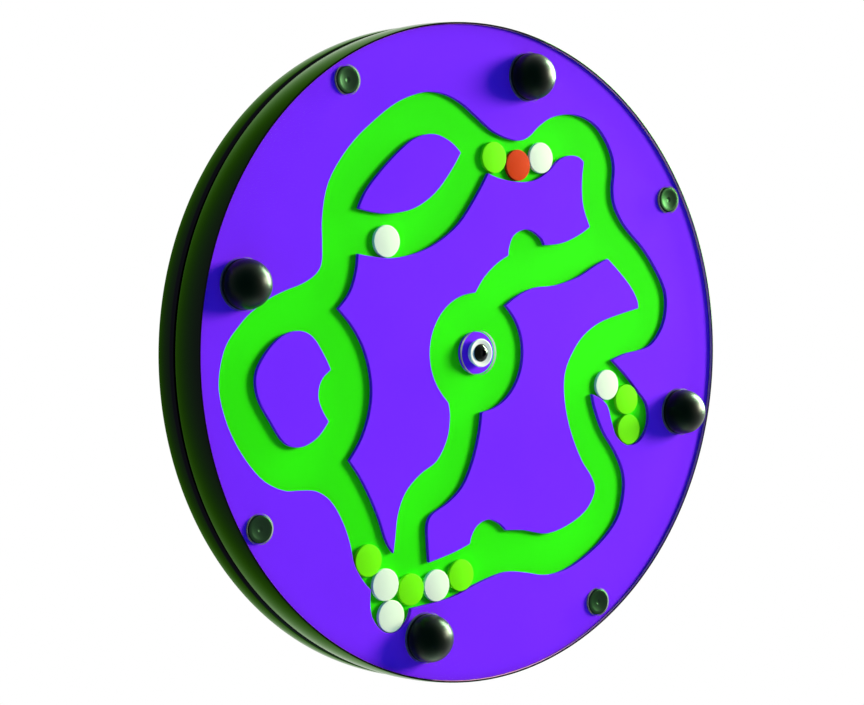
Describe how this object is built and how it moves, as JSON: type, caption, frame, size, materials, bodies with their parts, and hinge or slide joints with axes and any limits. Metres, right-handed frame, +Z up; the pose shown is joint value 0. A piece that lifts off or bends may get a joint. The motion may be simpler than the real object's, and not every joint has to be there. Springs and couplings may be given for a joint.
{
  "type": "round wall activity panel",
  "caption": "Round panel that turns on a wall board, with a track cut in its face behind a clear cover, loose round chips in the track, ball grips and a central axle bolt.",
  "frame": {"origin": "centre of the wall board on the wall, on the axle line", "axes": "-Y out of the wall along the axle towards the user, +Z up, +X to the right as the user faces the panel"},
  "size_m": [0.513, 0.0778, 0.513],
  "materials": {
    "board_black": "flat black sealed board with a fine grain",
    "rim_black": "smooth black edge moulding, satin gloss",
    "green_sheet": "bright green sheet, fine satin grain",
    "purple_sheet": "purple sheet, fine satin grain",
    "clear_sheet": "clear polished sheet",
    "white_plastic": "white moulded plastic, smooth",
    "knob_black": "smooth black ball grip, glossy",
    "cap_black": "black snap cap, satin gloss",
    "black_steel": "black oxide steel",
    "zinc_steel": "bright zinc plated steel",
    "brass_insert": "turned brass",
    "lime_chip": "lime green chip, satin",
    "white_chip": "off-white chip, satin",
    "orange_chip": "orange-red chip, satin"
  },
  "bodies": {
    "wall_side": {"back_board": "board_black", "back_rim": "rim_black", "axle_nut": "zinc_steel", "axle_bolt": "black_steel", "spacer_washer": "white_plastic"},
    "wheel": {"wheel_core": "board_black", "wheel_rim": "rim_black", "track_floor": "green_sheet", "outer_ring": "purple_sheet", "leaf_island": "purple_sheet", "left_island": "purple_sheet", "middle_island": "purple_sheet", "right_island": "purple_sheet", "hub_island": "purple_sheet", "clear_cover": "clear_sheet", "hub_bushing": "white_plastic", "knob_1": "knob_black", "knob_2": "knob_black", "knob_3": "knob_black", "knob_4": "knob_black", "knob_inserts": "brass_insert", "knob_screws": "zinc_steel", "cap_bases": "cap_black", "face_screws": "zinc_steel", "screw_caps": "cap_black", "core_screws": "zinc_steel"},
    "bottom_chip_1": {"bottom_chip_1": "lime_chip"},
    "bottom_chip_2": {"bottom_chip_2": "white_chip"},
    "bottom_chip_3": {"bottom_chip_3": "lime_chip"},
    "bottom_chip_4": {"bottom_chip_4": "white_chip"},
    "bottom_chip_5": {"bottom_chip_5": "lime_chip"},
    "bottom_chip_6": {"bottom_chip_6": "white_chip"},
    "pocket_chip_1": {"pocket_chip_1": "white_chip"},
    "pocket_chip_2": {"pocket_chip_2": "lime_chip"},
    "pocket_chip_3": {"pocket_chip_3": "lime_chip"},
    "top_chip_1": {"top_chip_1": "lime_chip"},
    "top_chip_2": {"top_chip_2": "orange_chip"},
    "top_chip_3": {"top_chip_3": "white_chip"},
    "leaf_chip": {"leaf_chip": "white_chip"}
  },
  "joints": [
    {"name": "wheel_spin", "type": "hinge", "parent": "wall_side", "child": "wheel", "pos_m": [0, -0.035, 0], "axis": [0, -1, 0], "continuous": true},
    {"name": "bottom_chip_1_roll", "type": "hinge", "parent": "wheel", "child": "bottom_chip_1", "pos_m": [-0.17106, -0.05175, -0.14888], "axis": [0, -1, 0], "range_deg": [0, 104]},
    {"name": "bottom_chip_2_spin", "type": "hinge", "parent": "wheel", "child": "bottom_chip_2", "pos_m": [-0.08865, -0.05175, -0.17399], "axis": [0, -1, 0], "continuous": true},
    {"name": "bottom_chip_3_spin", "type": "hinge", "parent": "wheel", "child": "bottom_chip_3", "pos_m": [-0.06452, -0.05175, -0.17945], "axis": [0, -1, 0], "continuous": true},
    {"name": "bottom_chip_4_spin", "type": "hinge", "parent": "wheel", "child": "bottom_chip_4", "pos_m": [-0.03962, -0.05175, -0.17818], "axis": [0, -1, 0], "continuous": true},
    {"name": "bottom_chip_5_roll", "type": "hinge", "parent": "wheel", "child": "bottom_chip_5", "pos_m": [0.0593, -0.05175, -0.3574], "axis": [0, 1, 0], "range_deg": [0, 30]},
    {"name": "bottom_chip_6_spin", "type": "hinge", "parent": "wheel", "child": "bottom_chip_6", "pos_m": [-0.08331, -0.05175, -0.19825], "axis": [0, -1, 0], "continuous": true},
    {"name": "pocket_chip_1_roll", "type": "hinge", "parent": "wheel", "child": "pocket_chip_1", "pos_m": [0.16305, -0.05175, -0.00704], "axis": [0, 1, 0], "range_deg": [0, 70]},
    {"name": "pocket_chip_2_spin", "type": "hinge", "parent": "wheel", "child": "pocket_chip_2", "pos_m": [0.15837, -0.05175, -0.03988], "axis": [0, -1, 0], "continuous": true},
    {"name": "pocket_chip_3_spin", "type": "hinge", "parent": "wheel", "child": "pocket_chip_3", "pos_m": [0.16078, -0.05175, -0.06452], "axis": [0, -1, 0], "continuous": true},
    {"name": "top_chip_1_spin", "type": "hinge", "parent": "wheel", "child": "top_chip_1", "pos_m": [0.01727, -0.05175, 0.15227], "axis": [0, -1, 0], "continuous": true},
    {"name": "top_chip_2_spin", "type": "hinge", "parent": "wheel", "child": "top_chip_2", "pos_m": [0.04166, -0.05175, 0.14719], "axis": [0, -1, 0], "continuous": true},
    {"name": "top_chip_3_roll", "type": "hinge", "parent": "wheel", "child": "top_chip_3", "pos_m": [0.09598, -0.05175, 0.14037], "axis": [0, 1, 0], "range_deg": [0, 156]},
    {"name": "leaf_chip_roll", "type": "hinge", "parent": "wheel", "child": "leaf_chip", "pos_m": [-0.09783, -0.05175, 0.18429], "axis": [0, -1, 0], "range_deg": [0, 58]}
  ]
}
